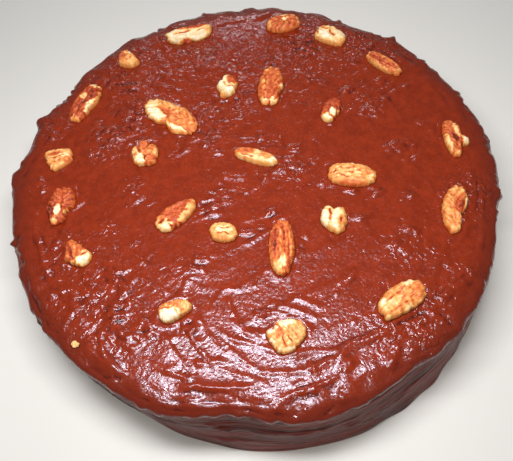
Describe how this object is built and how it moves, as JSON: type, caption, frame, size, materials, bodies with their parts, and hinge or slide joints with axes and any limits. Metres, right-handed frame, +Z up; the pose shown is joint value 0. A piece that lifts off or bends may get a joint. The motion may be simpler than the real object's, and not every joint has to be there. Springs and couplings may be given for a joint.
{
  "type": "chocolate brownie cake",
  "caption": "Round uncut single-layer chocolate brownie cake under dark spread frosting, with pecan pieces pressed into its top.",
  "frame": {"origin": "middle of the flat underside, on the surface that the cake rests on", "axes": "+Z up out of the top of the cake, -Y towards the viewer of the picture, +X to the viewer's right"},
  "size_m": [0.2395, 0.2382, 0.048],
  "materials": {
    "chocolate_frosting": "glossy dark chocolate frosting, spread with a knife",
    "roasted_pecan": "dry nut flesh and thin brown skin"
  },
  "bodies": {
    "root": {"frosted_cake": "chocolate_frosting", "pecan_01": "roasted_pecan", "pecan_02": "roasted_pecan", "pecan_03": "roasted_pecan", "pecan_04": "roasted_pecan", "pecan_05": "roasted_pecan", "pecan_06": "roasted_pecan", "pecan_07": "roasted_pecan", "pecan_08": "roasted_pecan", "pecan_09": "roasted_pecan", "pecan_10": "roasted_pecan", "pecan_11": "roasted_pecan", "pecan_12": "roasted_pecan", "pecan_13": "roasted_pecan", "pecan_14": "roasted_pecan", "pecan_15": "roasted_pecan", "pecan_16": "roasted_pecan", "pecan_17": "roasted_pecan", "pecan_18": "roasted_pecan", "pecan_19": "roasted_pecan", "pecan_20": "roasted_pecan", "pecan_21": "roasted_pecan", "pecan_22": "roasted_pecan", "pecan_23": "roasted_pecan", "pecan_24": "roasted_pecan", "pecan_25": "roasted_pecan"}
  },
  "joints": []
}
